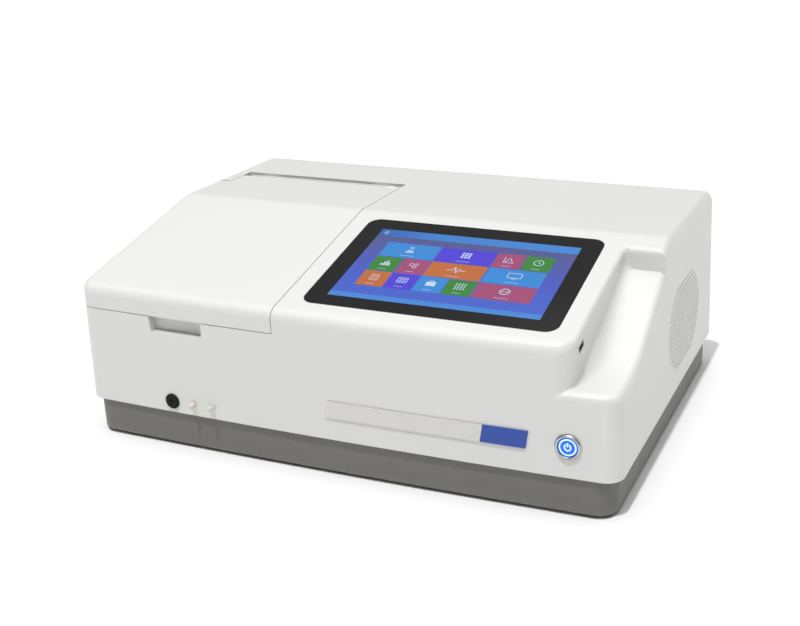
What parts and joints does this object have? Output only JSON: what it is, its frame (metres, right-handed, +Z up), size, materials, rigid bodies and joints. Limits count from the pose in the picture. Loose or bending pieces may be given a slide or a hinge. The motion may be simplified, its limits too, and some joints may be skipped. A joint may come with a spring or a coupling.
{
  "type": "spectrophotometer",
  "caption": "Benchtop double-beam spectrophotometer with a hinged sample lid, sloping touch display, side shelf and optics inside.",
  "frame": {"origin": "middle of the overall footprint, on the surface the feet stand on", "axes": "+X to the right, +Y to the back (the front faces -Y), +Z up"},
  "size_m": [0.58, 0.426, 0.2122],
  "materials": {
    "white_shell": "smooth semi-gloss moulded plastic",
    "grey_paint": "fine satin paint on sheet steel",
    "steel": "turned, satin",
    "aluminium": "machined, satin",
    "black_glass": "polished cover glass printed black at the back",
    "screen": "lit display",
    "silver": "satin silver strip",
    "blue_label": "gloss blue",
    "lit_blue": "lit lens",
    "black_plastic": "fine matte",
    "black_rubber": "matte",
    "white_plastic": "soft matte",
    "zinc": "zinc-plated sheet",
    "dark_anodised": "black anodised",
    "quartz": "clear polished",
    "mirror": "front-surface coated",
    "brass": "machined",
    "green_board": "solder mask"
  },
  "bodies": {
    "body": {"base_pan": "grey_paint", "side_screw_left_front": "dark_anodised", "side_screw_left_rear": "dark_anodised", "side_screw_right_front": "dark_anodised", "side_screw_right_rear": "dark_anodised", "foot_front_left": "black_rubber", "foot_rear_left": "black_rubber", "foot_front_right": "black_rubber", "foot_rear_right": "black_rubber", "upper_casing": "white_shell", "lid_hinge_pin_left": "steel", "lid_hinge_pin_right": "steel", "display_glass": "black_glass", "display_panel": "screen", "nameplate_label": "blue_label", "nameplate": "silver", "power_button_bezel": "steel", "power_switch_body": "black_plastic", "port_fitting_left": "steel", "port_fitting_right": "steel", "usb_socket": "zinc", "rear_panel": "aluminium", "mains_inlet": "black_plastic", "usb_b_socket": "zinc", "serial_socket": "zinc", "fan_frame": "black_plastic", "sample_well": "dark_anodised", "cell_rail": "steel", "reference_holder": "aluminium", "reference_cuvette": "quartz", "carriage_motor": "dark_anodised", "sample_detector": "dark_anodised", "reference_detector": "dark_anodised", "optical_bench": "aluminium", "monochromator_housing": "dark_anodised", "collimating_mirror": "mirror", "focusing_mirror": "mirror", "lamp_housing": "aluminium", "deuterium_lamp": "quartz", "tungsten_lamp": "quartz", "beam_splitter": "quartz", "fold_mirror": "mirror", "main_board": "green_board", "power_supply": "zinc"},
    "lid": {"sample_lid": "white_shell"},
    "power_button": {"power_button_cap": "lit_blue"},
    "plug": {"access_plug": "black_rubber"},
    "port_cap_left": {"port_cap_left": "white_plastic"},
    "port_cap_right": {"port_cap_right": "white_plastic"},
    "fuse_drawer": {"fuse_drawer": "black_plastic"},
    "carriage": {"cell_carriage": "aluminium", "cuvette_1": "quartz", "cuvette_2": "quartz", "cuvette_3": "quartz"},
    "lead_screw": {"lead_screw": "brass"},
    "source_mirror": {"source_mirror": "mirror"},
    "grating": {"grating_mount": "aluminium", "diffraction_grating": "mirror"},
    "filter_wheel": {"filter_wheel": "black_plastic"},
    "fan_rotor": {"fan_rotor": "black_plastic"}
  },
  "joints": [
    {"name": "lid_hinge", "type": "hinge", "parent": "body", "child": "lid", "pos_m": [-0.2343, 0.09829, 0.2022], "axis": [-1, 0, 0], "range_deg": [0, 70]},
    {"name": "power_button_press", "type": "slide", "parent": "body", "child": "power_button", "axis": [0, 1, 0], "range_m": [0, 0.0016], "stiffness_N_per_m": 900, "springref_m": -0.002},
    {"name": "access_plug_pull", "type": "slide", "parent": "body", "child": "plug", "axis": [0, -1, 0], "range_m": [0, 0.02]},
    {"name": "port_cap_left_pull", "type": "slide", "parent": "body", "child": "port_cap_left", "axis": [0, -1, 0], "range_m": [0, 0.015]},
    {"name": "port_cap_right_pull", "type": "slide", "parent": "body", "child": "port_cap_right", "axis": [0, -1, 0], "range_m": [0, 0.015]},
    {"name": "fuse_drawer_slide", "type": "slide", "parent": "body", "child": "fuse_drawer", "axis": [0, 1, 0], "range_m": [0, 0.016]},
    {"name": "carriage_slide", "type": "slide", "parent": "body", "child": "carriage", "axis": [0, -1, 0], "range_m": [0, 0.06]},
    {"name": "lead_screw_spin", "type": "hinge", "parent": "body", "child": "lead_screw", "pos_m": [-0.1399, -0.05171, 0.0679], "axis": [0, 1, 0], "range_deg": [0, 1080]},
    {"name": "source_mirror_turn", "type": "hinge", "parent": "body", "child": "source_mirror", "pos_m": [0.1832, 0.14829, 0.0777], "axis": [0, 0, 1], "range_deg": [-20, 20]},
    {"name": "grating_turn", "type": "hinge", "parent": "body", "child": "grating", "pos_m": [0.1012, 0.12079, 0.0799], "axis": [0, 0, 1], "range_deg": [-35, 35]},
    {"name": "filter_wheel_spin", "type": "hinge", "parent": "body", "child": "filter_wheel", "pos_m": [0.13295, 0.14829, 0.0799], "axis": [1, 0, 0], "continuous": true},
    {"name": "fan_spin", "type": "hinge", "parent": "body", "child": "fan_rotor", "pos_m": [0.198, 0.19289, 0.097], "axis": [0, 1, 0], "continuous": true}
  ],
  "couplings": [
    {"joint": "lead_screw_spin", "follows": "carriage_slide", "rad_per_m": 314.16}
  ]
}
